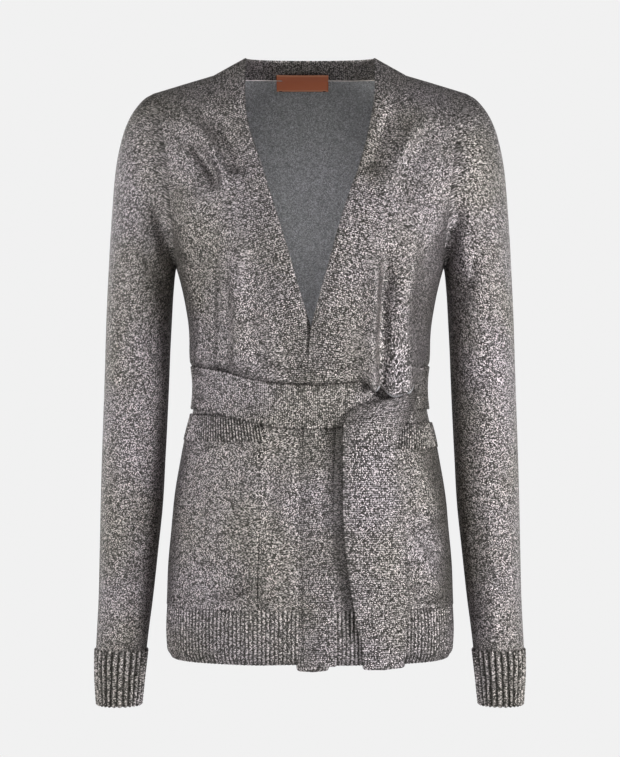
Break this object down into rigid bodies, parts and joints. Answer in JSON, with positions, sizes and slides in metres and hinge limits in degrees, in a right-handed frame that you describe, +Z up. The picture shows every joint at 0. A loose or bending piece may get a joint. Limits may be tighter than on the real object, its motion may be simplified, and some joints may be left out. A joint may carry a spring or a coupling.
{
  "type": "belted cardigan",
  "caption": "Metallic fine-knit wrap cardigan with a deep V neck, long ribbed-cuff sleeves, patch pockets and a tied self belt, filled out as worn.",
  "frame": {"origin": "midway between the two points where the neck edge meets the shoulders, where the wearer's shoulders hold it", "axes": "+Z up along the body, +X towards the wearer's left side, -Y out of the front"},
  "size_m": [0.4686, 0.2197, 0.7117],
  "materials": {
    "lurex_knit": "fine glittering metallic yarn knit, grey",
    "lurex_rib": "ribbed or crosswise metallic knit, grey",
    "orange_label": "plain satin woven strip, orange"
  },
  "bodies": {
    "root": {"back": "lurex_knit", "front_right": "lurex_knit", "front_left": "lurex_knit", "sleeve_right": "lurex_knit", "sleeve_left": "lurex_knit", "pocket_right": "lurex_knit", "pocket_left": "lurex_knit", "front_band": "lurex_rib", "hem_back": "lurex_rib", "hem_front_right": "lurex_rib", "hem_front_left": "lurex_rib", "cuff_right": "lurex_rib", "cuff_left": "lurex_rib", "pocket_trim_right": "lurex_rib", "pocket_trim_left": "lurex_rib", "belt_wrap": "lurex_rib", "belt_knot": "lurex_rib", "belt_tail_over": "lurex_rib", "belt_tail_under": "lurex_rib", "neck_label": "orange_label"}
  },
  "joints": []
}
